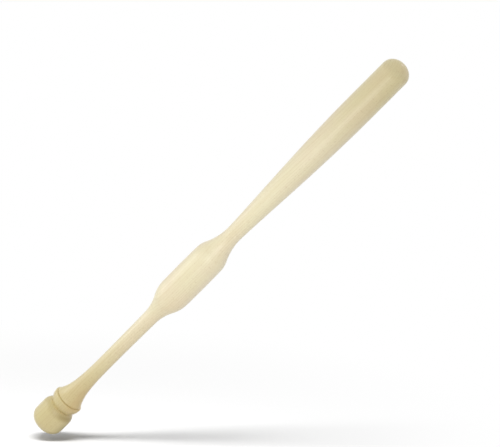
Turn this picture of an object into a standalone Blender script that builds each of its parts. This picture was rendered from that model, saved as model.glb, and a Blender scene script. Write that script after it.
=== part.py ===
"""Wooden baseball training bat with a weight bulb above the hands, a collar and a large knob.

Every piece is lathe work: its outline is a profile of radius against distance along the bat, turned with a
Screw modifier. The bat lies along +X. The origin is the centre of the knob's end face.
"""

import math

import bmesh
import bpy
from mathutils import Matrix

# Driving dimensions in metres. Lengths follow each other from the knob's end face to the barrel's tip,
# and add up to 34 inches.

# The knob
KNOB_DIAMETER = 0.0521
KNOB_LENGTH = 0.0474
KNOB_END_FACE_DIAMETER = 0.0180
KNOB_END_ROUNDING = 0.0158
KNOB_SHOULDER_LENGTH = 0.0125

# The V cut between the knob and the collar
V_CUT_DIAMETER = 0.0372

# The collar, a bead that is widest nearer its grip side
COLLAR_DIAMETER = 0.0484
COLLAR_LOWER_LENGTH = 0.0147
COLLAR_UPPER_LENGTH = 0.0017

# The fine nick between the collar and the flared end of the grip
NICK_DIAMETER = 0.0422
NICK_FLANK_LENGTH = 0.0008
COLLAR_EDGE_DIAMETER = 0.0458
FLARE_EDGE_DIAMETER = 0.0438

# The grip, with a flare that dies away along it
FLARE_DECAY_LENGTH = 0.0214
GRIP_DIAMETER = 0.0212
GRIP_TOP_DIAMETER = 0.0237
GRIP_LENGTH = 0.1932

# The weight bulb: an ogee up, a slightly crowned body and an ogee down
BULB_DIAMETER = 0.0523
BULB_CROWN_HEIGHT = 0.00035
BULB_RISE_LENGTH = 0.0625
BULB_RISE_HOLLOW_SHARE = 0.58
BULB_CROWN_LENGTH = 0.0784
BULB_FALL_LENGTH = 0.0628
BULB_FALL_HOLLOW_SHARE = 0.71

# The neck and the barrel, which swells fast at first and then slower
NECK_DIAMETER = 0.0260
BARREL_DIAMETER = 0.0467
BARREL_SWELL_LENGTH = 0.3047
BARREL_SWELL_POWER = 1.24
BARREL_STRAIGHT_LENGTH = 0.0766

# The tip: a flattened dome with the mark of the lathe's centre
TIP_LENGTH = 0.0194
TIP_SQUARENESS = 2.1
TIP_MARK_DIAMETER = 0.0036
TIP_MARK_DEPTH = 0.0009

# The hidden joint: a tenon through the collar into the knob, spread there by a wedge in its saw kerf
TENON_DIAMETER = 0.0160
TENON_SPREAD = 0.0010
TENON_DEPTH_IN_KNOB = 0.0300
WEDGE_LENGTH = 0.0200
WEDGE_THICKNESS = 0.0030
WEDGE_EDGE_THICKNESS = 0.0010
KERF_ROOT_SPACE = 0.0020

# Space between faces that meet
GLUE_GAP = 0.0003

# How finely the pieces are turned
SEGMENTS = 48
MERGE_DISTANCE = 0.00001
SHARP_ANGLE = math.radians(30)

# Sizes that follow from the driving dimensions
COLLAR_START = KNOB_LENGTH + GLUE_GAP
COLLAR_WIDEST = COLLAR_START + COLLAR_LOWER_LENGTH
COLLAR_EDGE = COLLAR_WIDEST + COLLAR_UPPER_LENGTH
COLLAR_END = COLLAR_EDGE + NICK_FLANK_LENGTH
BODY_SHOULDER = COLLAR_END + GLUE_GAP
GRIP_START = BODY_SHOULDER + NICK_FLANK_LENGTH
BULB_START = GRIP_START + GRIP_LENGTH
BULB_CROWN_START = BULB_START + BULB_RISE_LENGTH
BULB_CROWN_END = BULB_CROWN_START + BULB_CROWN_LENGTH
BARREL_START = BULB_CROWN_END + BULB_FALL_LENGTH
BARREL_STRAIGHT_START = BARREL_START + BARREL_SWELL_LENGTH
TIP_START = BARREL_STRAIGHT_START + BARREL_STRAIGHT_LENGTH
BAT_LENGTH = TIP_START + TIP_LENGTH
TENON_END = KNOB_LENGTH - TENON_DEPTH_IN_KNOB
BORE_FLOOR = TENON_END - GLUE_GAP


def spaced(count):
    """Even steps from 0 to 1, both included."""
    return [step / count for step in range(count + 1)]


def bead_arc(start, length, top, foot, count):
    """A circular arc that leaves the radius top level, and reaches the radius foot after length.

    A negative length runs the arc the other way. The points come in the order top to foot.
    """
    drop = top - foot
    if abs(drop) < MERGE_DISTANCE:
        return [(start, top), (start + length, foot)]
    arc_radius = (length**2 + drop**2) / (2 * drop)
    points = []
    for u in spaced(count):
        x = u * length
        fall = arc_radius - math.copysign(math.sqrt(arc_radius**2 - x**2), arc_radius)
        points.append((start + x, top - fall))
    return points


def ogee(start, length, first, last, first_share, count):
    """Two tangent arcs from one level radius to another, the first taking its share of the length."""
    turn = start + first_share * length
    middle = first + first_share * (last - first)
    near = bead_arc(start, turn - start, first, middle, count)
    far = bead_arc(start + length, turn - start - length, last, middle, count)
    return near + far[::-1][1:]


def grip_outline(count):
    """The grip from its flared edge to the bulb, with points closer together in the flare."""
    grip = GRIP_DIAMETER / 2
    flare = FLARE_EDGE_DIAMETER / 2 - grip
    taper = (GRIP_TOP_DIAMETER - GRIP_DIAMETER) / 2
    points = []
    for u in spaced(count):
        x = GRIP_LENGTH * u**2
        fade = (math.exp(-x / FLARE_DECAY_LENGTH) - math.exp(-GRIP_LENGTH / FLARE_DECAY_LENGTH))
        points.append((GRIP_START + x, grip + flare * fade + taper * (x / GRIP_LENGTH) ** 2))
    return points


def bulb_outline(count):
    """The bulb: a hollow curve rising into a round one, the crowned body, and the same down again."""
    top = BULB_DIAMETER / 2
    edge = top - BULB_CROWN_HEIGHT
    rise = ogee(BULB_START, BULB_RISE_LENGTH, GRIP_TOP_DIAMETER / 2, edge, BULB_RISE_HOLLOW_SHARE, count)
    middle = (BULB_CROWN_START + BULB_CROWN_END) / 2
    half = BULB_CROWN_LENGTH / 2
    crown = bead_arc(middle, -half, top, edge, 3)[::-1] + bead_arc(middle, half, top, edge, 3)[1:]
    fall = ogee(BULB_CROWN_END, BULB_FALL_LENGTH, edge, NECK_DIAMETER / 2, 1 - BULB_FALL_HOLLOW_SHARE, count)
    return rise + crown[1:] + fall[1:]


def barrel_outline(count):
    """The barrel from the neck to the start of the tip."""
    neck = NECK_DIAMETER / 2
    swell = BARREL_DIAMETER / 2 - neck
    points = []
    for u in spaced(count):
        share = math.sin(u * math.pi / 2) ** BARREL_SWELL_POWER
        points.append((BARREL_START + u * BARREL_SWELL_LENGTH, neck + swell * share))
    return points


def tip_outline(count):
    """The flattened dome, a superellipse, down to the mark that the lathe's centre left."""
    radius = BARREL_DIAMETER / 2
    power = 2 / TIP_SQUARENESS
    mark = TIP_MARK_DIAMETER / 2
    points = []
    for u in spaced(count)[:-1]:
        angle = u * math.pi / 2
        points.append((TIP_START + TIP_LENGTH * math.sin(angle) ** power, radius * math.cos(angle) ** power))
    rim = TIP_START + TIP_LENGTH * (1 - (mark / radius) ** TIP_SQUARENESS) ** (1 / TIP_SQUARENESS)
    return points + [(rim, mark), (BAT_LENGTH - TIP_MARK_DEPTH, 0)]


def tenon_outline():
    """The tenon from the body's shoulder to its end, with the spread part inside the knob."""
    tenon = TENON_DIAMETER / 2
    spread = tenon + TENON_SPREAD / 2
    return [(BODY_SHOULDER, tenon), (KNOB_LENGTH, tenon), (TENON_END, spread), (TENON_END, 0)]


def body_profile():
    """The whole body, from the tip down its outer side to the tenon's end."""
    flank = [(BODY_SHOULDER, NICK_DIAMETER / 2)]
    outer = flank + grip_outline(22) + bulb_outline(8)[1:] + barrel_outline(14)[1:] + tip_outline(12)
    return outer[::-1] + tenon_outline()


def collar_profile():
    """The collar's closed section: the bead outside, and the bore for the tenon inside."""
    top = COLLAR_DIAMETER / 2
    bore = TENON_DIAMETER / 2 + GLUE_GAP
    upper = bead_arc(COLLAR_WIDEST, COLLAR_UPPER_LENGTH, top, COLLAR_EDGE_DIAMETER / 2, 4)
    lower = bead_arc(COLLAR_WIDEST, -COLLAR_LOWER_LENGTH, top, V_CUT_DIAMETER / 2, 6)
    nick = [(COLLAR_END, NICK_DIAMETER / 2)]
    return [(COLLAR_END, bore)] + nick + upper[::-1] + lower[1:] + [(COLLAR_START, bore)]


def knob_profile():
    """The knob: up the undercut bore, over the shoulder, down the side and round to the end face."""
    bore = TENON_DIAMETER / 2 + GLUE_GAP
    undercut = bore + TENON_SPREAD / 2
    side = KNOB_DIAMETER / 2
    face = KNOB_END_FACE_DIAMETER / 2
    shoulder_start = KNOB_LENGTH - KNOB_SHOULDER_LENGTH
    shoulder = bead_arc(shoulder_start, KNOB_SHOULDER_LENGTH, side, V_CUT_DIAMETER / 2, 7)
    rounding = []
    for u in spaced(10):
        angle = u * math.pi / 2
        rounding.append((KNOB_END_ROUNDING * (1 - math.sin(angle)), face + (side - face) * math.cos(angle)))
    blind_bore = [(BORE_FLOOR, 0), (BORE_FLOOR, undercut), (KNOB_LENGTH, bore)]
    return blind_bore + shoulder[::-1] + rounding + [(0, 0)]


def timber(name, colour, roughness):
    """A plain wood material."""
    material = bpy.data.materials.new(name)
    material.use_nodes = True
    shader = material.node_tree.nodes["Principled BSDF"]
    shader.inputs["Base Color"].default_value = (*colour, 1)
    shader.inputs["Roughness"].default_value = roughness
    shader.inputs["Metallic"].default_value = 0
    material.diffuse_color = (*colour, 1)
    return material


def turned(name, profile, closed, material, collection, axis):
    """Turns a profile of (distance, radius) points about the bat's axis into a solid."""
    mesh = bpy.data.meshes.new(name)
    count = len(profile)
    edges = [(i, i + 1) for i in range(count - 1)]
    if closed:
        edges.append((count - 1, 0))
    mesh.from_pydata([(radius, 0, distance) for distance, radius in profile], edges, [])
    solid = bpy.data.objects.new(name, mesh)
    collection.objects.link(solid)
    solid.parent = axis
    screw = solid.modifiers.new("Turning", "SCREW")
    screw.axis = "Z"
    screw.angle = math.tau
    screw.steps = SEGMENTS
    screw.render_steps = SEGMENTS
    screw.use_merge_vertices = True
    screw.merge_threshold = MERGE_DISTANCE
    smooth(solid)
    solid.data.materials.append(material)
    return solid


def smooth(solid):
    """Keeps the turned shape as the object's own mesh, shaded smooth except at its sharp edges."""
    depsgraph = bpy.context.evaluated_depsgraph_get()
    solid.data = bpy.data.meshes.new_from_object(solid.evaluated_get(depsgraph))
    solid.modifiers.clear()
    solid.data.shade_smooth()
    solid.data.set_sharp_from_angle(angle=SHARP_ANGLE)


def wedge_thickness_at(distance):
    """The wedge's thickness at a distance along the bat, also beyond its own ends."""
    slope = (WEDGE_THICKNESS - WEDGE_EDGE_THICKNESS) / WEDGE_LENGTH
    return WEDGE_THICKNESS - slope * (distance - TENON_END)


def tapered_block(name, start, end, width, clearance, collection, axis):
    """A block across the tenon whose thickness follows the wedge, with a clearance on each flank."""
    shape = bmesh.new()
    bmesh.ops.create_cube(shape, size=1)
    bmesh.ops.transform(shape, matrix=Matrix.Translation((0, 0, 0.5)), verts=shape.verts)
    for corner in shape.verts:
        distance = start + corner.co.z * (end - start)
        thickness = wedge_thickness_at(distance) + 2 * clearance
        corner.co = (corner.co.x * thickness, corner.co.y * width, distance)
    mesh = bpy.data.meshes.new(name)
    shape.to_mesh(mesh)
    shape.free()
    block = bpy.data.objects.new(name, mesh)
    collection.objects.link(block)
    block.parent = axis
    return block


def cut_kerf(body, cutters, axis):
    """Saws the kerf into the tenon's end, open to both sides of the tenon."""
    reach = TENON_DIAMETER + TENON_SPREAD
    root = TENON_END + WEDGE_LENGTH + KERF_ROOT_SPACE
    kerf = tapered_block("kerf_cutter", TENON_END - reach / 4, root, 2 * reach, GLUE_GAP, cutters, axis)
    kerf.hide_render = True
    kerf.display_type = "WIRE"
    cut = body.modifiers.new("Kerf", "BOOLEAN")
    cut.operation = "DIFFERENCE"
    cut.solver = "EXACT"
    cut.object = kerf


def new_collection(name):
    collection = bpy.data.collections.new(name)
    bpy.context.scene.collection.children.link(collection)
    return collection


def main():
    for old in list(bpy.data.objects):
        bpy.data.objects.remove(old, do_unlink=True)

    bat = new_collection("baseball_training_bat")
    cutters = new_collection("cutters")

    axis = bpy.data.objects.new("bat_axis", None)
    axis.rotation_euler = (0, math.pi / 2, 0)
    axis.empty_display_size = BAT_LENGTH / 10
    bat.objects.link(axis)

    body_wood = timber("maple_body", (0.72, 0.62, 0.40), 0.42)
    collar_wood = timber("maple_collar", (0.70, 0.59, 0.36), 0.42)
    knob_wood = timber("maple_knob", (0.69, 0.58, 0.36), 0.42)
    wedge_wood = timber("hardwood_wedge", (0.45, 0.28, 0.15), 0.60)

    body = turned("bat_body", body_profile(), False, body_wood, bat, axis)
    turned("collar_ring", collar_profile(), True, collar_wood, bat, axis)
    turned("end_knob", knob_profile(), False, knob_wood, bat, axis)

    cut_kerf(body, cutters, axis)
    wedge_width = 2 * math.sqrt((TENON_DIAMETER / 2) ** 2 - (WEDGE_THICKNESS / 2) ** 2)
    wedge_end = TENON_END + WEDGE_LENGTH
    wedge = tapered_block("tenon_wedge", TENON_END, wedge_end, wedge_width, 0, bat, axis)
    wedge.data.materials.append(wedge_wood)


main()
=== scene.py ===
"""Looks for the wooden baseball training bat: finer turned pieces, maple with a clear satin lacquer,
a pale floor under the knob, soft studio light and a camera at the photograph's viewing angle.

The bat lies along +X, with the origin at the centre of the knob's end face. Lengths are in metres.
"""

import math

import bmesh
import bpy
from mathutils import Matrix, Vector


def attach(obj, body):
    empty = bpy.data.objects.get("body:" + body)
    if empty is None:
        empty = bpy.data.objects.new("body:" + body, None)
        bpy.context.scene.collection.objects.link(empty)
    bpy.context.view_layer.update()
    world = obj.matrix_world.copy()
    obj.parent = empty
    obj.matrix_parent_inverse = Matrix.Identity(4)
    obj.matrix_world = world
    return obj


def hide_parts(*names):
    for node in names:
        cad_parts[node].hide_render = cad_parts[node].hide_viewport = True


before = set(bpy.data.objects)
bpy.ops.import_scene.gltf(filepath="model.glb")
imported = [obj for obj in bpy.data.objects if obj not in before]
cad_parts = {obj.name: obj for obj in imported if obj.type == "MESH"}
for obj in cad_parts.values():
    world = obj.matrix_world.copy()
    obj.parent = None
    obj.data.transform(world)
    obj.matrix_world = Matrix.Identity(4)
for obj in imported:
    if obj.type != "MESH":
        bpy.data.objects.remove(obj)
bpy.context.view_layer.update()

# The knob, as in the part's source
KNOB_DIAMETER = 0.0521
KNOB_LENGTH = 0.0474
KNOB_END_FACE_DIAMETER = 0.0180
KNOB_END_ROUNDING = 0.0158
KNOB_SHOULDER_LENGTH = 0.0125
V_CUT_DIAMETER = 0.0372

# The collar and the nick above it
COLLAR_DIAMETER = 0.0484
COLLAR_LOWER_LENGTH = 0.0147
COLLAR_UPPER_LENGTH = 0.0017
NICK_DIAMETER = 0.0422
NICK_FLANK_LENGTH = 0.0008
COLLAR_EDGE_DIAMETER = 0.0458
FLARE_EDGE_DIAMETER = 0.0438

# The grip
FLARE_DECAY_LENGTH = 0.0214
GRIP_DIAMETER = 0.0212
GRIP_TOP_DIAMETER = 0.0237
GRIP_LENGTH = 0.1932

# The weight bulb
BULB_DIAMETER = 0.0523
BULB_CROWN_HEIGHT = 0.00035
BULB_RISE_LENGTH = 0.0625
BULB_RISE_HOLLOW_SHARE = 0.58
BULB_CROWN_LENGTH = 0.0784
BULB_FALL_LENGTH = 0.0628
BULB_FALL_HOLLOW_SHARE = 0.71

# The neck, the barrel and the tip
NECK_DIAMETER = 0.0260
BARREL_DIAMETER = 0.0467
BARREL_SWELL_LENGTH = 0.3047
BARREL_SWELL_POWER = 1.24
BARREL_STRAIGHT_LENGTH = 0.0766
TIP_LENGTH = 0.0194
TIP_SQUARENESS = 2.1
TIP_MARK_DIAMETER = 0.0036
TIP_MARK_DEPTH = 0.0009

# The hidden joint
TENON_DIAMETER = 0.0160
TENON_SPREAD = 0.0010
TENON_DEPTH_IN_KNOB = 0.0300
WEDGE_LENGTH = 0.0200
WEDGE_THICKNESS = 0.0030
WEDGE_EDGE_THICKNESS = 0.0010
KERF_ROOT_SPACE = 0.0020
GLUE_GAP = 0.0003

# How finely the pieces are turned here: faces round the axis, and steps along each curve
SEGMENTS = 144
GRIP_STEPS = 64
BULB_STEPS = 20
BARREL_STEPS = 48
TIP_STEPS = 30
PIT_STEPS = 5
COLLAR_EDGE_STEPS = 14
BEAD_STEPS = 24
KNOB_END_STEPS = 32
SOFT_CORNER_STEPS = 4

# Edges that turn by more than this are shaded sharp
SHARP_ANGLE = math.radians(38)

# Points nearer than this are the same place
TOLERANCE = 0.000001

# Where these pieces differ a little from the solids: a sanded edge, closer joint lines, a rounded pit
EDGE_SOFTENING = 0.0004
LONGEST_SHARE_OF_EDGE = 0.45
JOINT_TIGHTENING = 0.00012
PIT_POWER = 0.8
PIT_CLEARANCE = 1.1

# Running positions along the bat
COLLAR_START = KNOB_LENGTH + GLUE_GAP
COLLAR_WIDEST = COLLAR_START + COLLAR_LOWER_LENGTH
COLLAR_EDGE = COLLAR_WIDEST + COLLAR_UPPER_LENGTH
COLLAR_END = COLLAR_EDGE + NICK_FLANK_LENGTH
BODY_SHOULDER = COLLAR_END + GLUE_GAP
GRIP_START = BODY_SHOULDER + NICK_FLANK_LENGTH
BULB_START = GRIP_START + GRIP_LENGTH
BULB_CROWN_START = BULB_START + BULB_RISE_LENGTH
BULB_CROWN_END = BULB_CROWN_START + BULB_CROWN_LENGTH
BARREL_START = BULB_CROWN_END + BULB_FALL_LENGTH
BARREL_STRAIGHT_START = BARREL_START + BARREL_SWELL_LENGTH
TIP_START = BARREL_STRAIGHT_START + BARREL_STRAIGHT_LENGTH
BAT_LENGTH = TIP_START + TIP_LENGTH
TENON_END = KNOB_LENGTH - TENON_DEPTH_IN_KNOB
BORE_FLOOR = TENON_END - GLUE_GAP
BODY_FACE = BODY_SHOULDER - JOINT_TIGHTENING
COLLAR_END_FACE = COLLAR_END + JOINT_TIGHTENING
COLLAR_START_FACE = COLLAR_START - JOINT_TIGHTENING
KNOB_FACE = KNOB_LENGTH + JOINT_TIGHTENING

# Viewing angle and frame of the photograph
FRAME_WIDTH = 500
METRES_PER_PIXEL = 0.0015099
LEAN_TO_CAMERA = math.radians(27)
LEAN_IN_FRAME = math.radians(45)
MIDDLE_OF_BAT = Vector((0.4528, 0, 0))
RIGHT_OF_MIDDLE = 20.03
ABOVE_MIDDLE = 14.32
LENS = 1200
SENSOR = 36
NEAREST_SEEN = 0.1
FARTHEST_SEEN = 100
CAMERA_ABOVE_FLOOR = math.radians(14)
GAP_OVER_FLOOR = 0.0088

# Light: the room's strength, then for each lamp the place it faces, its power, size, distance and turn
ROOM_LIGHT = 0.86
FRONT_TARGET = Vector((0.48, 0, 0))
FRONT_POWER = 0.97
FRONT_SIZE = (0.35, 0.35)
FRONT_DISTANCE = 0.60
FRONT_TURN = math.radians(2)
LEFT_TARGET = Vector((0.33, 0, 0))
LEFT_POWER = 0.62
LEFT_SIZE = (0.3, 0.3)
LEFT_DISTANCE = 0.6
LEFT_TURN = math.radians(80)
SHADOW_TARGET = Vector((0.48, 0, 0))
SHADOW_POWER = 107.0
SHADOW_SIZE = (1.4, 0.52)
SHADOW_DISTANCE = 2.0
SHADOW_LEAN = math.radians(35.8)
SHADOW_TURN = math.radians(8)

# The floor, and how far from under the knob its shadow starts to fade, and is gone
FLOOR_SIZE = 6.0
SHADOW_FADE_START = 0.05
SHADOW_FADE_END = 0.72

# Colours, linear
MAPLE_PALE = (0.790, 0.727, 0.490)
MAPLE_PINK = (0.790, 0.700, 0.492)
MAPLE_TAN = (0.620, 0.480, 0.270)
MAPLE_BROWN = (0.420, 0.260, 0.120)
MARK_PALE = (0.80, 0.68, 0.50)
WEDGE_DARK = (0.20, 0.10, 0.05)
WEDGE_LIGHT = (0.42, 0.25, 0.13)
FLOOR_COLOUR = (0.29, 0.29, 0.29)
FLOOR_SEEN_COLOUR = (0.405, 0.405, 0.405)

# Tones, which the wood's colour is multiplied by
# Painted shade in the cuts: the grooves darkened where shade falls, most on the lower side
CUT_PAINTED_SHADE_TONE = (0.62, 0.57, 0.43)
# Partly heartwood and partly painted shade: a brown tint on the lower side, which is in shade
HEARTWOOD_AND_SHADE_TONE = (0.92, 0.84, 0.74)
# The ends' tan: partly the wood's own tone, partly painted shade where light falls off towards the ends
END_TONE = (0.80, 0.755, 0.55)
END_GRAIN_TONE = (1.0, 0.98, 0.95)

# The tree: where its pith lies beside the bat, how that drifts along it, and its year rings
PITH = (0.020, -0.125)
PITH_DRIFT = (0.010, -0.014)
RING_SPACING = 0.0034
RING_WANDER = 0.007
RING_WANDER_PER_METRE = (3.2, 16, 16)
RING_UNEVENNESS_PER_METRE = 150.0

# A year's late wood: the parts of the year over which it darkens, and over which it ends
RING_DARKENS = (0.30, 0.93)
RING_LIGHTENS = (0.95, 1.0)
LATE_WOOD_POWER = 2.5

# Where in the tree each piece's wood grew
BODY_PLACE = (0, 0, 0)
COLLAR_PLACE = (0.41, 0.013, -0.007)
KNOB_PLACE = (-0.37, -0.009, 0.015)
WEDGE_PLACE = (0.3, 0.1, 0.2)

# Patterns in the wood: features per metre along the bat, and each way across it
FIBRES_PER_METRE = (22, 1300, 1300)
STREAKS_PER_METRE = (5, 190, 190)
CLOUDS_PER_METRE = (9, 26, 26)
BLUSH_PER_METRE = (13, 34, 34)
RING_FADING_PER_METRE = (14, 60, 60)
POLISH_PER_METRE = (40, 90, 90)
SANDING_PER_METRE = (3200, 45, 45)
WEDGE_STREAKS_PER_METRE = (40, 1500, 1500)
WEDGE_BANDS_PER_METRE = (12, 420, 420)

# Ray flecks: features per metre along the bat, per metre out from the pith, and per radian about it
FLECKS_ALONG = 650.0
FLECKS_OUT = 160.0
FLECKS_ABOUT = 420.0

# The noise levels at which each pattern starts, and at which it is full
STREAK_LEVELS = (0.42, 0.72)
FIBRE_LEVELS = (0.35, 0.75)
CLOUD_LEVELS = (0.35, 0.70)
BLUSH_LEVELS = (0.35, 0.65)
FADING_LEVELS = (0.30, 0.70)
FLECK_LEVELS = (0.66, 0.76)
POLISH_LEVELS = (0.30, 0.70)
WEDGE_LEVELS = (0.35, 0.65)
SAWN_LEVELS = (0.3, 0.7)

# How far rings, streaks, fibres and clouds turn the pale wood to tan, and how far flecks turn it brown
RING_SHARE = 0.24
STREAK_SHARE = 0.14
FIBRE_SHARE = 0.10
CLOUD_SHARE = 0.10
FLECK_SHARE = 0.20

# What is left of a ring's line where it fades
FADED_RING_SHARE = 0.25

# How much streaks and bands each add to the wedge's colour
WEDGE_STREAK_SHARE = 0.6
WEDGE_BAND_SHARE = 0.4

# Places along the bat where a tone starts, and where it is full; the ends' tone and the heartwood's are each
# partly painted shade
KNOB_END_TONED = (0.26, 0.05)
TIP_END_TONED = (0.64, 0.84)
TIP_END_SHARE = 0.70
HEARTWOOD_AND_SHADE_FROM = (0.044, 0.058)
HEARTWOOD_AND_SHADE_TO = (0.36, 0.29)

# Heartwood and painted shade: beyond the first place only a share of its tone is left, and before the second
# all of it
HEARTWOOD_AND_SHADE_FAINTER = (0.15, 0.09)
HEARTWOOD_AND_SHADE_FAINTER_SHARE = 0.45

# Heights over the bat's axis where the lower side's tone starts, and where it is full: the heartwood tint,
# partly painted shade, and the cuts' painted shade
LOWER_SIDE = (0.008, -0.014)
CUT_LOWER_SIDE = (0.002, -0.016)

# The painted shade in each cut, darker where shade falls: where it starts, is full from and to, and ends,
# and its upper and lower share
NICK_SHADE_BAND = (BODY_FACE - 0.0020, BODY_FACE - 0.0010, BODY_FACE, GRIP_START + 0.0003)
COLLAR_SHADE_BAND = (COLLAR_START - 0.0020, COLLAR_START - 0.0010, COLLAR_START, COLLAR_START + 0.0045)
KNOB_SHADE_BAND = (KNOB_LENGTH - 0.0138, KNOB_LENGTH - 0.0045, KNOB_LENGTH - 0.0045, KNOB_LENGTH + 0.0020)
BODY_CUT_SHADE = (NICK_SHADE_BAND, 0.30, 0.60)
COLLAR_CUT_SHADE = (COLLAR_SHADE_BAND, 0.10, 0.60)
KNOB_CUT_SHADE = (KNOB_SHADE_BAND, 0.40, 1.0)

# The lathe's mark: the pale spot's radius where it starts and is full, as shares of the mark's width
MARK_SPOT = (0.62, 0.48)

# The lacquer, and how much duller it is on end grain, which faces along the bat
LACQUER_SPECULAR = 0.35
LACQUER_COAT = 0.8
LACQUER_ROUGHNESS = 0.36
SATIN_ROUGHNESS = (0.40, 0.50)
END_GRAIN_ROUGHNESS = 0.08
END_GRAIN_FACING = (0.65, 1.0)

# The relief of the lacquered wood, and the look of the sawn wedge
SANDING_SHARE = 0.5
RELIEF_STRENGTH = 0.25
RELIEF_HEIGHT = 0.00008
SAWN_ROUGHNESS = (0.55, 0.70)
SAWN_STRENGTH = 0.3
SAWN_HEIGHT = 0.0001


def spaced(count):
    """Even steps from 0 to 1, both included."""
    return [step / count for step in range(count + 1)]


def bead_arc(start, length, top, foot, count):
    """A circular arc that leaves the radius top level, and reaches the radius foot after length."""
    drop = top - foot
    arc_radius = (length**2 + drop**2) / (2 * drop)
    points = []
    for u in spaced(count):
        x = u * length
        fall = arc_radius - math.copysign(math.sqrt(arc_radius**2 - x**2), arc_radius)
        points.append((start + x, top - fall))
    return points


def ogee(start, length, first, last, first_share, count):
    """Two tangent arcs from one level radius to another, the first taking its share of the length."""
    turn = start + first_share * length
    middle = first + first_share * (last - first)
    near = bead_arc(start, turn - start, first, middle, count)
    far = bead_arc(start + length, turn - start - length, last, middle, count)
    return near + far[::-1][1:]


def grip_outline(count):
    """The grip from its flared edge to the bulb, with points closer together in the flare."""
    grip = GRIP_DIAMETER / 2
    flare = FLARE_EDGE_DIAMETER / 2 - grip
    taper = (GRIP_TOP_DIAMETER - GRIP_DIAMETER) / 2
    points = []
    for u in spaced(count):
        x = GRIP_LENGTH * u**2
        fade = math.exp(-x / FLARE_DECAY_LENGTH) - math.exp(-GRIP_LENGTH / FLARE_DECAY_LENGTH)
        points.append((GRIP_START + x, grip + flare * fade + taper * (x / GRIP_LENGTH) ** 2))
    return points


def bulb_outline(count):
    """The bulb: a hollow curve rising into a round one, the crowned body, and the same down again."""
    top = BULB_DIAMETER / 2
    edge = top - BULB_CROWN_HEIGHT
    rise = ogee(BULB_START, BULB_RISE_LENGTH, GRIP_TOP_DIAMETER / 2, edge, BULB_RISE_HOLLOW_SHARE, count)
    middle = (BULB_CROWN_START + BULB_CROWN_END) / 2
    half = BULB_CROWN_LENGTH / 2
    lower_crown = bead_arc(middle, -half, top, edge, count // 2)[::-1]
    upper_crown = bead_arc(middle, half, top, edge, count // 2)
    fall = ogee(BULB_CROWN_END, BULB_FALL_LENGTH, edge, NECK_DIAMETER / 2, 1 - BULB_FALL_HOLLOW_SHARE, count)
    return rise + lower_crown[1:] + upper_crown[1:] + fall[1:]


def barrel_outline(count):
    """The barrel from the neck to the start of the tip."""
    neck = NECK_DIAMETER / 2
    swell = BARREL_DIAMETER / 2 - neck
    points = []
    for u in spaced(count):
        share = math.sin(u * math.pi / 2) ** BARREL_SWELL_POWER
        points.append((BARREL_START + u * BARREL_SWELL_LENGTH, neck + swell * share))
    return points


def tip_outline(count):
    """The flattened dome down to the small pit that the lathe's centre left."""
    radius = BARREL_DIAMETER / 2
    power = 2 / TIP_SQUARENESS
    mark = TIP_MARK_DIAMETER / 2
    points = []
    for u in spaced(count)[:-1]:
        angle = u * math.pi / 2
        points.append((TIP_START + TIP_LENGTH * math.sin(angle) ** power, radius * math.cos(angle) ** power))
    rim = TIP_START + TIP_LENGTH * (1 - (mark / radius) ** TIP_SQUARENESS) ** (1 / TIP_SQUARENESS)
    pit = [(rim - TIP_MARK_DEPTH * u**PIT_POWER, mark * (1 - u)) for u in spaced(PIT_STEPS)]
    return [point for point in points if point[1] > mark * PIT_CLEARANCE] + pit


def tenon_outline():
    """The tenon from the body's shoulder to its end, with the spread part inside the knob."""
    tenon = TENON_DIAMETER / 2
    spread = tenon + TENON_SPREAD / 2
    return [(BODY_FACE, tenon), (KNOB_LENGTH, tenon), (TENON_END, spread), (TENON_END, 0)]


def softened(before, corner, after, reach):
    """A small rounding in place of a corner of an outline."""
    a, b, c = Vector(before), Vector(corner), Vector(after)
    first = b + (a - b).normalized() * min(reach, (a - b).length * LONGEST_SHARE_OF_EDGE)
    last = b + (c - b).normalized() * min(reach, (c - b).length * LONGEST_SHARE_OF_EDGE)
    points = []
    for u in spaced(SOFT_CORNER_STEPS):
        point = first * (1 - u) ** 2 + b * 2 * u * (1 - u) + last * u**2
        points.append(tuple(point))
    return points


def with_soft_corner(outline, corner):
    """The outline with one corner rounded a little, as sanding leaves it."""
    points = []
    for i, point in enumerate(outline):
        if abs(point[0] - corner[0]) < TOLERANCE and abs(point[1] - corner[1]) < TOLERANCE:
            points += softened(outline[i - 1], point, outline[(i + 1) % len(outline)], EDGE_SOFTENING)
        else:
            points.append(point)
    return points


def body_profile():
    """The whole body, from the tip down its outer side to the tenon's end."""
    flank = [(BODY_FACE, NICK_DIAMETER / 2)]
    grip = grip_outline(GRIP_STEPS)
    bulb = bulb_outline(BULB_STEPS)
    barrel = barrel_outline(BARREL_STEPS)
    outer = flank + grip + bulb[1:] + barrel[1:] + tip_outline(TIP_STEPS)
    return with_soft_corner(outer[::-1] + tenon_outline(), grip[0])


def collar_profile():
    """The collar's closed section: the bead outside, and the bore for the tenon inside."""
    top = COLLAR_DIAMETER / 2
    bore = TENON_DIAMETER / 2 + GLUE_GAP
    edge = COLLAR_EDGE_DIAMETER / 2
    upper = bead_arc(COLLAR_WIDEST, COLLAR_UPPER_LENGTH, top, edge, COLLAR_EDGE_STEPS)
    lower = bead_arc(COLLAR_WIDEST, -COLLAR_LOWER_LENGTH, top, V_CUT_DIAMETER / 2, BEAD_STEPS)
    end_face = [(COLLAR_END_FACE, bore), (COLLAR_END_FACE, NICK_DIAMETER / 2)]
    start_face = [(COLLAR_START_FACE, V_CUT_DIAMETER / 2), (COLLAR_START_FACE, bore)]
    return with_soft_corner(end_face + upper[::-1] + lower[1:] + start_face, (COLLAR_EDGE, edge))


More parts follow.
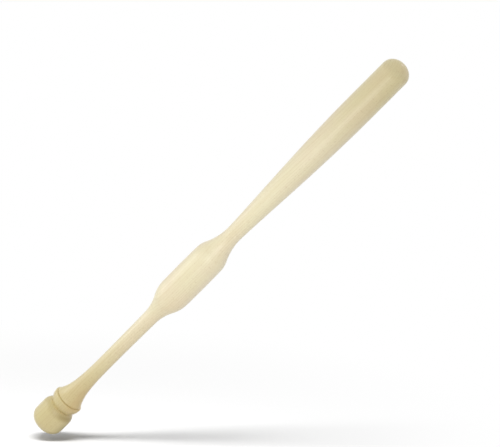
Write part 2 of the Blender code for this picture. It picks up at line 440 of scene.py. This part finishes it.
def knob_profile():
    """The knob: up the undercut bore, over the shoulder, down the side and round to the end face."""
    bore = TENON_DIAMETER / 2 + GLUE_GAP
    undercut = bore + TENON_SPREAD / 2
    side = KNOB_DIAMETER / 2
    face = KNOB_END_FACE_DIAMETER / 2
    shoulder_start = KNOB_LENGTH - KNOB_SHOULDER_LENGTH
    shoulder = bead_arc(shoulder_start, KNOB_SHOULDER_LENGTH, side, V_CUT_DIAMETER / 2, BEAD_STEPS)
    rounding = []
    for u in spaced(KNOB_END_STEPS):
        angle = u * math.pi / 2
        rounding.append((KNOB_END_ROUNDING * (1 - math.sin(angle)), face + (side - face) * math.cos(angle)))
    blind_bore = [(BORE_FLOOR, 0), (BORE_FLOOR, undercut), (KNOB_FACE, bore)]
    face_edge = [(KNOB_FACE, V_CUT_DIAMETER / 2)]
    return blind_bore + face_edge + shoulder[::-1] + rounding + [(0, 0)]


def ring_of(mesh, x, radius):
    """One ring of the turned surface, or a single point on the axis."""
    if radius < TOLERANCE:
        return [mesh.verts.new((x, 0, 0))]
    ring = []
    for step in range(SEGMENTS):
        angle = step * math.tau / SEGMENTS
        ring.append(mesh.verts.new((x, radius * math.cos(angle), radius * math.sin(angle))))
    return ring


def join_rings(mesh, first, last):
    """The strip of faces between two neighbouring rings."""
    for step in range(SEGMENTS):
        following = (step + 1) % SEGMENTS
        if len(first) == 1:
            mesh.faces.new((first[0], last[step], last[following]))
        elif len(last) == 1:
            mesh.faces.new((first[step], last[0], first[following]))
        else:
            mesh.faces.new((first[step], last[step], last[following], first[following]))


def turned(name, profile, closed):
    """Turns a profile of (distance, radius) points about the bat's axis into a solid."""
    shape = bmesh.new()
    rings = [ring_of(shape, x, radius) for x, radius in profile]
    if closed:
        rings.append(rings[0])
    for first, last in zip(rings, rings[1:]):
        join_rings(shape, first, last)
    bmesh.ops.recalc_face_normals(shape, faces=shape.faces)
    mesh = bpy.data.meshes.new(name)
    shape.to_mesh(mesh)
    shape.free()
    solid = bpy.data.objects.new(name, mesh)
    bpy.context.scene.collection.objects.link(solid)
    return solid


def shade(solid):
    """Smooth shading, except at the sharp edges."""
    solid.data.shade_smooth()
    solid.data.set_sharp_from_angle(angle=SHARP_ANGLE)


def kerf_cutter():
    """The tapered saw kerf in the tenon's end, as a solid to cut with."""
    reach = TENON_DIAMETER + TENON_SPREAD
    start = TENON_END - reach / 4
    end = TENON_END + WEDGE_LENGTH + KERF_ROOT_SPACE
    slope = (WEDGE_THICKNESS - WEDGE_EDGE_THICKNESS) / WEDGE_LENGTH
    shape = bmesh.new()
    bmesh.ops.create_cube(shape, size=1)
    bmesh.ops.transform(shape, matrix=Matrix.Translation((0.5, 0, 0)), verts=shape.verts)
    for corner in shape.verts:
        x = start + corner.co.x * (end - start)
        thickness = WEDGE_THICKNESS - slope * (x - TENON_END) + 2 * GLUE_GAP
        corner.co = (x, corner.co.y * 2 * reach, corner.co.z * thickness)
    mesh = bpy.data.meshes.new("kerf")
    shape.to_mesh(mesh)
    shape.free()
    cutter = bpy.data.objects.new("kerf", mesh)
    bpy.context.scene.collection.objects.link(cutter)
    return cutter


def cut_kerf(body):
    """Saws the kerf into the tenon, so that the hidden wedge sits in it."""
    cutter = kerf_cutter()
    cut = body.modifiers.new("Kerf", "BOOLEAN")
    cut.operation = "DIFFERENCE"
    cut.solver = "EXACT"
    cut.object = cutter
    depsgraph = bpy.context.evaluated_depsgraph_get()
    body.data = bpy.data.meshes.new_from_object(body.evaluated_get(depsgraph))
    body.modifiers.clear()
    bpy.data.objects.remove(cutter, do_unlink=True)


def add(tree, kind, inputs, **settings):
    """Adds a shader node. An input given as a socket is linked, and any other value is set."""
    node = tree.nodes.new(kind)
    for name, value in settings.items():
        setattr(node, name, value)
    for key, value in inputs.items():
        if isinstance(value, bpy.types.NodeSocket):
            tree.links.new(value, node.inputs[key])
        else:
            node.inputs[key].default_value = value
    return node


def maths(tree, operation, first, second=0.0):
    """One sum on two numbers."""
    return add(tree, "ShaderNodeMath", {0: first, 1: second}, operation=operation).outputs[0]


def vector_maths(tree, operation, first, second):
    """One sum on two vectors, whose answer is a vector."""
    return add(tree, "ShaderNodeVectorMath", {0: first, 1: second}, operation=operation).outputs[0]


def ranged(tree, value, low, high, from_share=0.0, to_share=1.0):
    """A smooth step from one share to another while the value goes from low to high."""
    inputs = {"Value": value, 1: low, 2: high, 3: from_share, 4: to_share}
    return add(tree, "ShaderNodeMapRange", inputs, interpolation_type="SMOOTHSTEP").outputs[0]


def blended(tree, share, first, second, kind="MIX"):
    """One colour turning into another."""
    first = first if isinstance(first, bpy.types.NodeSocket) else (*first, 1)
    second = second if isinstance(second, bpy.types.NodeSocket) else (*second, 1)
    inputs = {0: share, 6: first, 7: second}
    return add(tree, "ShaderNodeMix", inputs, data_type="RGBA", blend_type=kind).outputs[2]


def grain_noise(tree, place, per_metre, detail=2.0, roughness=0.5):
    """Noise with the given number of features per metre, along the bat and each way across it."""
    inputs = {"Vector": vector_maths(tree, "MULTIPLY", place, per_metre), "Scale": 1.0}
    inputs.update({"Detail": detail, "Roughness": roughness})
    return add(tree, "ShaderNodeTexNoise", inputs)


def wood_place(tree, piece_shift):
    """A point's place in the tree, where the piece's wood grew, and the node with its own coordinates."""
    coordinates = add(tree, "ShaderNodeTexCoord", {})
    return vector_maths(tree, "ADD", coordinates.outputs["Object"], piece_shift), coordinates


def around_pith(tree, place):
    """A point's distance from the tree's pith and its angle about it, both wandering a little."""
    wander = grain_noise(tree, place, RING_WANDER_PER_METRE, detail=1.5).outputs["Color"]
    centred = vector_maths(tree, "SUBTRACT", wander, (0.5, 0.5, 0.5))
    offset = vector_maths(tree, "MULTIPLY", centred, (0, RING_WANDER, RING_WANDER))
    moved = vector_maths(tree, "ADD", place, offset)
    along, *sides = add(tree, "ShaderNodeSeparateXYZ", {0: moved}).outputs
    from_pith = []
    for side, start, drift in zip(sides, PITH, PITH_DRIFT):
        straight = maths(tree, "SUBTRACT", side, maths(tree, "MULTIPLY", along, drift))
        from_pith.append(maths(tree, "SUBTRACT", straight, start))
    y, z = from_pith
    squares = maths(tree, "ADD", maths(tree, "MULTIPLY", y, y), maths(tree, "MULTIPLY", z, z))
    return maths(tree, "SQRT", squares), maths(tree, "ARCTAN2", z, y)


def year_lines(tree, radius):
    """The line that each year's late wood leaves, in years of uneven width."""
    inputs = {"W": radius, "Scale": RING_UNEVENNESS_PER_METRE, "Detail": 1.0}
    uneven = add(tree, "ShaderNodeTexNoise", inputs, noise_dimensions="1D").outputs["Fac"]
    years = maths(tree, "ADD", maths(tree, "DIVIDE", radius, RING_SPACING), uneven)
    part_of_year = maths(tree, "FRACT", years)
    darker = maths(tree, "POWER", ranged(tree, part_of_year, *RING_DARKENS), LATE_WOOD_POWER)
    return maths(tree, "MULTIPLY", darker, ranged(tree, part_of_year, *RING_LIGHTENS, 1.0, 0.0))


def ray_flecks(tree, place, radius, angle):
    """The short thin dashes of the rays, which are sheets that run out from the pith."""
    along = add(tree, "ShaderNodeSeparateXYZ", {0: place}).outputs[0]
    scales = ((along, FLECKS_ALONG), (radius, FLECKS_OUT), (angle, FLECKS_ABOUT))
    inputs = {i: maths(tree, "MULTIPLY", value, scale) for i, (value, scale) in enumerate(scales)}
    sheet = add(tree, "ShaderNodeCombineXYZ", inputs).outputs[0]
    noise = add(tree, "ShaderNodeTexNoise", {"Vector": sheet, "Scale": 1.0, "Detail": 0.0})
    return ranged(tree, noise.outputs["Fac"], *FLECK_LEVELS)


def painted_cut_shade(tree, along, level, band, upper_share, lower_share):
    """The share of painted shade in a cut, where shade falls: over a band along the bat, and more on the
    lower side, which is in shade.
    """
    first, full_from, full_to, last = band
    start = ranged(tree, along, first, full_from)
    end = ranged(tree, along, last, full_to)
    side = ranged(tree, level, *CUT_LOWER_SIDE, upper_share, lower_share)
    return maths(tree, "MULTIPLY", maths(tree, "MULTIPLY", start, end), side)


def heartwood_and_painted_shade(tree, along, level):
    """A faint brown streak on the lower side, from the collar up onto the bulb: partly heartwood nearest the
    pith, partly painted shade.
    """
    start = ranged(tree, along, *HEARTWOOD_AND_SHADE_FROM)
    fainter = ranged(tree, along, *HEARTWOOD_AND_SHADE_FAINTER, HEARTWOOD_AND_SHADE_FAINTER_SHARE, 1.0)
    end = ranged(tree, along, *HEARTWOOD_AND_SHADE_TO)
    reach = maths(tree, "MULTIPLY", maths(tree, "MULTIPLY", start, fainter), end)
    return maths(tree, "MULTIPLY", reach, ranged(tree, level, *LOWER_SIDE))


def lathe_mark(tree, coordinates):
    """The small pale spot of bare wood that the lathe's centre left on the tip."""
    inputs = {0: coordinates.outputs["Object"], 1: (BAT_LENGTH, 0, 0)}
    distance = add(tree, "ShaderNodeVectorMath", inputs, operation="DISTANCE").outputs["Value"]
    start, full = MARK_SPOT
    return ranged(tree, distance, TIP_MARK_DIAMETER * start, TIP_MARK_DIAMETER * full)


def bare_wood(tree, place, line, flecks, fibres):
    """Pale wood with tan year rings, streaks, fibres and clouds, and brown ray flecks."""
    streaks = grain_noise(tree, place, STREAKS_PER_METRE).outputs["Fac"]
    clouds = grain_noise(tree, place, CLOUDS_PER_METRE).outputs["Fac"]
    blush = grain_noise(tree, place, BLUSH_PER_METRE).outputs["Color"]
    fading = grain_noise(tree, place, RING_FADING_PER_METRE, detail=1.0).outputs["Fac"]
    faded_line = maths(tree, "MULTIPLY", line, ranged(tree, fading, *FADING_LEVELS, FADED_RING_SHARE, 1.0))
    tan = maths(tree, "MULTIPLY", faded_line, RING_SHARE)
    patterns = [
        (streaks, STREAK_LEVELS, STREAK_SHARE),
        (fibres, FIBRE_LEVELS, FIBRE_SHARE),
        (clouds, CLOUD_LEVELS, CLOUD_SHARE),
    ]
    for pattern, levels, share in patterns:
        tan = maths(tree, "ADD", tan, maths(tree, "MULTIPLY", ranged(tree, pattern, *levels), share))
    pale = blended(tree, ranged(tree, blush, *BLUSH_LEVELS), MAPLE_PALE, MAPLE_PINK)
    colour = blended(tree, tan, pale, MAPLE_TAN)
    return blended(tree, maths(tree, "MULTIPLY", flecks, FLECK_SHARE), colour, MAPLE_BROWN)


def toned(tree, colour, coordinates, end_grain, cut):
    """The wood darkened at both ends and on its lower side, each partly painted shade, on end grain and by
    painted shade in its cut, with the pale mark.
    """
    along, _, level = add(tree, "ShaderNodeSeparateXYZ", {0: coordinates.outputs["Object"]}).outputs
    knob_end = ranged(tree, along, *KNOB_END_TONED)
    tip_end = ranged(tree, along, *TIP_END_TONED, 0.0, TIP_END_SHARE)
    tones = [
        # The ends' tan, partly painted shade
        (maths(tree, "MAXIMUM", knob_end, tip_end), END_TONE),
        (end_grain, END_GRAIN_TONE),
        # Heartwood tint and painted shade on the lower side
        (heartwood_and_painted_shade(tree, along, level), HEARTWOOD_AND_SHADE_TONE),
        # Painted shade in the piece's cut
        (painted_cut_shade(tree, along, level, *cut), CUT_PAINTED_SHADE_TONE),
    ]
    for share, tone in tones:
        colour = blended(tree, share, colour, tone, "MULTIPLY")
    return blended(tree, lathe_mark(tree, coordinates), colour, MARK_PALE)


def lacquer(tree, shader, place, end_grain):
    """Clear satin lacquer, a little uneven in its polish, and duller on end grain."""
    polish = grain_noise(tree, place, POLISH_PER_METRE).outputs["Fac"]
    satin = ranged(tree, polish, *POLISH_LEVELS, *SATIN_ROUGHNESS)
    duller = maths(tree, "MULTIPLY", end_grain, END_GRAIN_ROUGHNESS)
    tree.links.new(maths(tree, "ADD", satin, duller), shader.inputs["Roughness"])
    shader.inputs["Specular IOR Level"].default_value = LACQUER_SPECULAR
    shader.inputs["Coat Weight"].default_value = LACQUER_COAT
    shader.inputs["Coat Roughness"].default_value = LACQUER_ROUGHNESS


def fine_relief(tree, shader, place, fibres, flecks):
    """The very fine relief of fibres and sanding lines, with the flecks a little sunken."""
    sanding = grain_noise(tree, place, SANDING_PER_METRE, detail=1.0).outputs["Fac"]
    raised = maths(tree, "ADD", fibres, maths(tree, "MULTIPLY", sanding, SANDING_SHARE))
    height = maths(tree, "SUBTRACT", raised, flecks)
    inputs = {"Height": height, "Strength": RELIEF_STRENGTH, "Distance": RELIEF_HEIGHT}
    bump = add(tree, "ShaderNodeBump", inputs)
    tree.links.new(bump.outputs[0], shader.inputs["Normal"])


def maple(name, shift, cut):
    """Hard maple under clear satin lacquer, with painted shade in its cut and, in part, on its lower side
    and towards its ends.
    """
    material = bpy.data.materials.new(name)
    material.use_nodes = True
    tree = material.node_tree
    shader = tree.nodes["Principled BSDF"]
    place, coordinates = wood_place(tree, shift)
    radius, angle = around_pith(tree, place)
    line = year_lines(tree, radius)
    flecks = ray_flecks(tree, place, radius, angle)
    fibres = grain_noise(tree, place, FIBRES_PER_METRE, detail=3.0, roughness=0.6).outputs["Fac"]
    normal = add(tree, "ShaderNodeSeparateXYZ", {0: coordinates.outputs["Normal"]}).outputs[0]
    end_grain = ranged(tree, maths(tree, "ABSOLUTE", normal), *END_GRAIN_FACING)
    colour = bare_wood(tree, place, line, flecks, fibres)
    tree.links.new(toned(tree, colour, coordinates, end_grain, cut), shader.inputs["Base Color"])
    lacquer(tree, shader, place, end_grain)
    fine_relief(tree, shader, place, fibres, flecks)
    return material


def wedge_hardwood():
    """Straight-grained darker hardwood, sawn and not lacquered, for the hidden wedge."""
    material = bpy.data.materials.new("wedge_hardwood")
    material.use_nodes = True
    tree = material.node_tree
    shader = tree.nodes["Principled BSDF"]
    place, _ = wood_place(tree, WEDGE_PLACE)
    streaks = grain_noise(tree, place, WEDGE_STREAKS_PER_METRE, detail=3.0, roughness=0.6).outputs["Fac"]
    bands = grain_noise(tree, place, WEDGE_BANDS_PER_METRE, detail=1.0).outputs["Fac"]
    streaky = maths(tree, "MULTIPLY", streaks, WEDGE_STREAK_SHARE)
    banded = maths(tree, "MULTIPLY", bands, WEDGE_BAND_SHARE)
    pattern = maths(tree, "ADD", streaky, banded)
    colour = blended(tree, ranged(tree, pattern, *WEDGE_LEVELS), WEDGE_DARK, WEDGE_LIGHT)
    tree.links.new(colour, shader.inputs["Base Color"])
    sawn = ranged(tree, streaks, *SAWN_LEVELS, *SAWN_ROUGHNESS)
    tree.links.new(sawn, shader.inputs["Roughness"])
    inputs = {"Height": streaks, "Strength": SAWN_STRENGTH, "Distance": SAWN_HEIGHT}
    bump = add(tree, "ShaderNodeBump", inputs)
    tree.links.new(bump.outputs[0], shader.inputs["Normal"])
    return material


def dress_pieces():
    """The finer turned pieces in place of the frame's own, and the wood of every piece."""
    body = turned("bat_body_turned", body_profile(), closed=False)
    cut_kerf(body)
    collar = turned("collar_ring_turned", collar_profile(), closed=True)
    knob = turned("end_knob_turned", knob_profile(), closed=False)
    # Each row: the piece, its node in the frame, its material, where its wood grew, and the painted shade in
    # its cut
    rows = [
        (body, "bat_body", "maple_body", BODY_PLACE, BODY_CUT_SHADE),
        (collar, "collar_ring", "maple_collar", COLLAR_PLACE, COLLAR_CUT_SHADE),
        (knob, "end_knob", "maple_knob", KNOB_PLACE, KNOB_CUT_SHADE),
    ]
    for piece, node, slot, shift, cut in rows:
        shade(piece)
        piece.data.materials.append(maple(slot, shift, cut))
        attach(piece, "root")
        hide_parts(node)
    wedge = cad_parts["tenon_wedge"]
    wedge.material_slots[0].material = wedge_hardwood()


def view_axes():
    """The photograph's right, up and backward directions, in the bat's own frame."""
    along = Vector((1, 0, 0))
    to_camera = Vector((0, -1, 0))
    back = math.sin(LEAN_TO_CAMERA) * along + math.cos(LEAN_TO_CAMERA) * to_camera
    bat_in_frame = (along - along.dot(back) * back).normalized()
    across = back.cross(bat_in_frame)
    right = math.cos(LEAN_IN_FRAME) * bat_in_frame - math.sin(LEAN_IN_FRAME) * across
    up = math.sin(LEAN_IN_FRAME) * bat_in_frame + math.cos(LEAN_IN_FRAME) * across
    return right, up, back


def place_camera(right, up, back):
    """A long lens, with the middle of the bat at its place in the photograph."""
    distance = LENS / SENSOR * FRAME_WIDTH * METRES_PER_PIXEL
    aim = MIDDLE_OF_BAT + (right * RIGHT_OF_MIDDLE + up * ABOVE_MIDDLE) * METRES_PER_PIXEL
    data = bpy.data.cameras.new("camera")
    data.lens = LENS
    data.sensor_width = SENSOR
    data.clip_start = NEAREST_SEEN
    data.clip_end = FARTHEST_SEEN
    camera = bpy.data.objects.new("camera", data)
    turn = Matrix((right, up, back)).transposed().to_4x4()
    camera.matrix_world = Matrix.Translation(aim + back * distance) @ turn
    bpy.context.scene.collection.objects.link(camera)
    bpy.context.scene.camera = camera


def seen_directly(tree):
    """Whether the camera sees the point: directly, in a gloss, or through something clear."""
    path = add(tree, "ShaderNodeLightPath", {})
    seen = maths(tree, "MAXIMUM", path.outputs["Is Camera Ray"], path.outputs["Is Glossy Ray"])
    return maths(tree, "MAXIMUM", seen, path.outputs["Is Transmission Ray"])


def floor_material():
    """A pale floor, white to the camera but for the bat's shadow, and see-through from below."""
    material = bpy.data.materials.new("floor")
    material.use_nodes = True
    tree = material.node_tree
    tree.nodes.clear()
    seen = seen_directly(tree)
    place = add(tree, "ShaderNodeTexCoord", {}).outputs["Object"]
    distance = add(tree, "ShaderNodeVectorMath", {0: place}, operation="LENGTH").outputs["Value"]
    far = maths(tree, "MULTIPLY", seen, ranged(tree, distance, SHADOW_FADE_START, SHADOW_FADE_END))
    colour = blended(tree, seen, FLOOR_COLOUR, FLOOR_SEEN_COLOUR)
    matt = add(tree, "ShaderNodeBsdfDiffuse", {"Color": colour})
    white = add(tree, "ShaderNodeEmission", {"Strength": 1.0})
    lit = add(tree, "ShaderNodeMixShader", {0: far, 1: matt.outputs[0], 2: white.outputs[0]})
    clear = add(tree, "ShaderNodeBsdfTransparent", {})
    side = add(tree, "ShaderNodeNewGeometry", {}).outputs["Backfacing"]
    both = add(tree, "ShaderNodeMixShader", {0: side, 1: lit.outputs[0], 2: clear.outputs[0]})
    output = add(tree, "ShaderNodeOutputMaterial", {0: both.outputs[0]})
    output.is_active_output = True
    return material


def lay_floor(right, up, back):
    """The floor, a little under the lowest point of the knob, and seen from slightly above."""
    normal = (up * math.cos(CAMERA_ABOVE_FLOOR) + back * math.sin(CAMERA_ABOVE_FLOOR)).normalized()
    lean = math.sqrt(normal.y**2 + normal.z**2)
    lowest = min(knob_profile(), key=lambda point: point[0] * normal.x - point[1] * lean)
    down = -Vector((0, normal.y, normal.z)).normalized()
    contact = Vector((lowest[0], 0, 0)) + down * lowest[1] - normal * GAP_OVER_FLOOR
    half = FLOOR_SIZE / 2
    mesh = bpy.data.meshes.new("floor")
    corners = [(-half, -half, 0), (half, -half, 0), (half, half, 0), (-half, half, 0)]
    mesh.from_pydata(corners, [], [(0, 1, 2, 3)])
    floor = bpy.data.objects.new("floor", mesh)
    turn = Matrix((right, normal.cross(right), normal)).transposed().to_4x4()
    floor.matrix_world = Matrix.Translation(contact) @ turn
    bpy.context.scene.collection.objects.link(floor)
    mesh.materials.append(floor_material())
    return floor


def light_room():
    """White to the camera and in reflections, and an even pale light on everything else."""
    world = bpy.data.worlds.new("room")
    bpy.context.scene.world = world
    world.use_nodes = True
    tree = world.node_tree
    strength = maths(tree, "MAXIMUM", seen_directly(tree), ROOM_LIGHT)
    background = tree.nodes["Background"]
    background.inputs["Color"].default_value = (1, 1, 1, 1)
    tree.links.new(strength, background.inputs["Strength"])


def soft_light(name, target, direction, right, distance, size, power):
    """A soft light that faces a place on the bat, with its width towards the photograph's right."""
    data = bpy.data.lights.new(name, "AREA")
    data.shape = "RECTANGLE"
    data.size, data.size_y = size
    data.energy = power
    lamp = bpy.data.objects.new(name, data)
    side = (right - right.dot(direction) * direction).normalized()
    turn = Matrix((side, direction.cross(side), direction)).transposed().to_4x4()
    lamp.matrix_world = Matrix.Translation(target + direction * distance) @ turn
    bpy.context.scene.collection.objects.link(lamp)
    return lamp


def above(right, up, back, lean, turn):
    """The direction straight up in the photograph, leant towards the camera and then turned to the left."""
    leaning = up * math.cos(lean) + back * math.sin(lean)
    return leaning * math.cos(turn) - right * math.sin(turn)


def set_lights(right, up, back, floor):
    """Soft light from the front and from the upper left, and a lamp for the floor that draws the shadow."""
    front = Vector((0, -math.cos(FRONT_TURN), math.sin(FRONT_TURN)))
    soft_light("front_light", FRONT_TARGET, front, right, FRONT_DISTANCE, FRONT_SIZE, FRONT_POWER)
    mirrored = Vector((0, -math.cos(LEFT_TURN), math.sin(LEFT_TURN)))
    left = mirrored * math.cos(LEAN_TO_CAMERA) - Vector((1, 0, 0)) * math.sin(LEAN_TO_CAMERA)
    soft_light("left_light", LEFT_TARGET, left, right, LEFT_DISTANCE, LEFT_SIZE, LEFT_POWER)
    overhead = above(right, up, back, SHADOW_LEAN, SHADOW_TURN)
    settings = (SHADOW_DISTANCE, SHADOW_SIZE, SHADOW_POWER)
    lamp = soft_light("shadow_light", SHADOW_TARGET, overhead, right, *settings)
    only_floor = bpy.data.collections.new("lit_by_shadow_light")
    only_floor.objects.link(floor)
    lamp.light_linking.receiver_collection = only_floor


dress_pieces()
right, up, back = view_axes()
place_camera(right, up, back)
floor = lay_floor(right, up, back)
light_room()
set_lights(right, up, back, floor)
bpy.context.scene.view_settings.view_transform = "Standard"
